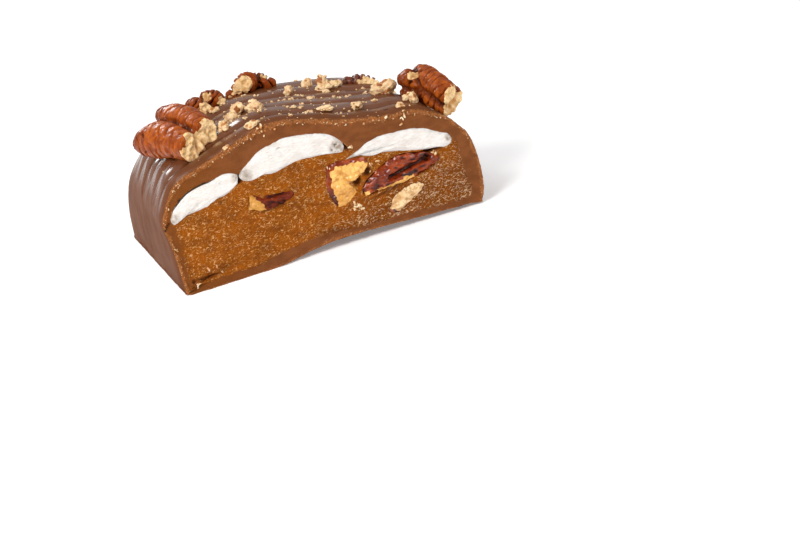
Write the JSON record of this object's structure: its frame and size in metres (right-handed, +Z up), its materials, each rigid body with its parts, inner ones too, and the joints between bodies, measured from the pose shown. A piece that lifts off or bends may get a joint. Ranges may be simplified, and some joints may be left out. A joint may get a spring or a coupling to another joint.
{
  "type": "rocky road toffee half",
  "caption": "Half of a chocolate-coated toffee and marshmallow bar, cut across and lying on its base, with broken pecans on its rippled top.",
  "frame": {"origin": "on the surface that the bar rests on, under the middle of the half", "axes": "+Z up; -Y out of the cut face; +Y towards the bar's own rounded end; X across the bar"},
  "size_m": [0.0558, 0.056, 0.0273],
  "materials": {
    "milk_chocolate": "satin milk chocolate, matte where cut",
    "toffee": "moist, grainy amber-brown cut face",
    "marshmallow": "soft white, finely porous",
    "pecan": "red-brown wrinkled skin, cream where broken"
  },
  "bodies": {
    "root": {"chocolate_coat": "milk_chocolate", "toffee": "toffee", "marshmallow_left": "marshmallow", "marshmallow_middle": "marshmallow", "marshmallow_right": "marshmallow", "inner_pecan_small": "pecan", "inner_pecan_middle": "pecan", "inner_pecan_long": "pecan", "inner_pecan_low": "pecan", "top_pecan_front_left": "pecan", "top_pecan_right": "pecan", "top_pecan_rear_left": "pecan", "top_pecan_rear": "pecan", "top_pecan_rear_right": "pecan"}
  },
  "joints": []
}
